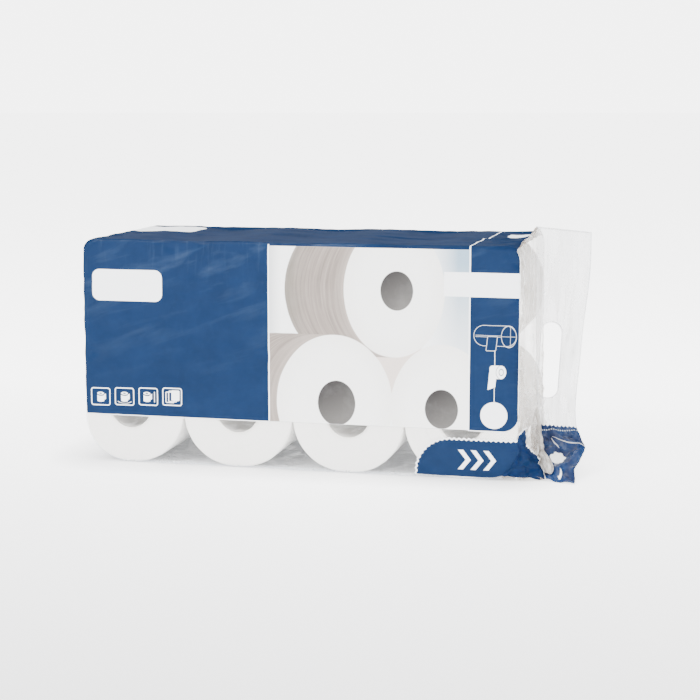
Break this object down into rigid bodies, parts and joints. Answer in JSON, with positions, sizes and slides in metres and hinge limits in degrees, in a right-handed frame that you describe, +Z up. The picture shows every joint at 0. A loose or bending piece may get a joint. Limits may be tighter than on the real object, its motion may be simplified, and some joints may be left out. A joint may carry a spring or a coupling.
{
  "type": "toilet_paper_roll_pack",
  "caption": "Multipack of white toilet rolls squeezed into a clear film bag with blue and white printed panels, a gathered end and a carrying fin with an oblong hand hole",
  "frame": {"origin": "centre of the underside of the pack's body, on the floor it stands on", "axes": "+X along the pack towards the gathered end and its carrying fin, -Y towards the printed front panel, +Z up"},
  "size_m": [0.5237, 0.2002, 0.2502],
  "materials": {
    "paper": "soft embossed tissue, matt",
    "card": "plain grey-brown spiral-wound card",
    "clear_film": "thin clear polyethylene film, glossy and slightly crumpled",
    "ink_blue": "mid blue print on glossy film",
    "ink_white": "white print on glossy film",
    "ink_beige": "beige-grey print on glossy film",
    "ink_grey": "warm grey print on glossy film"
  },
  "bodies": {
    "root": {"roll_front_lower_1": "paper", "core_front_lower_1": "card", "roll_front_lower_2": "paper", "core_front_lower_2": "card", "roll_front_lower_3": "paper", "core_front_lower_3": "card", "roll_front_lower_4": "paper", "core_front_lower_4": "card", "roll_front_upper_1": "paper", "core_front_upper_1": "card", "roll_front_upper_2": "paper", "core_front_upper_2": "card", "roll_front_upper_3": "paper", "core_front_upper_3": "card", "roll_front_upper_4": "paper", "core_front_upper_4": "card", "roll_back_lower_1": "paper", "core_back_lower_1": "card", "roll_back_lower_2": "paper", "core_back_lower_2": "card", "roll_back_lower_3": "paper", "core_back_lower_3": "card", "roll_back_lower_4": "paper", "core_back_lower_4": "card", "roll_back_upper_1": "paper", "core_back_upper_1": "card", "roll_back_upper_2": "paper", "core_back_upper_2": "card", "roll_back_upper_3": "paper", "core_back_upper_3": "card", "roll_back_upper_4": "paper", "core_back_upper_4": "card", "film_bag": "clear_film", "print_blue": "ink_blue", "print_white": "ink_white", "print_roll_sides": "ink_beige", "print_roll_cores": "ink_grey"}
  },
  "joints": []
}
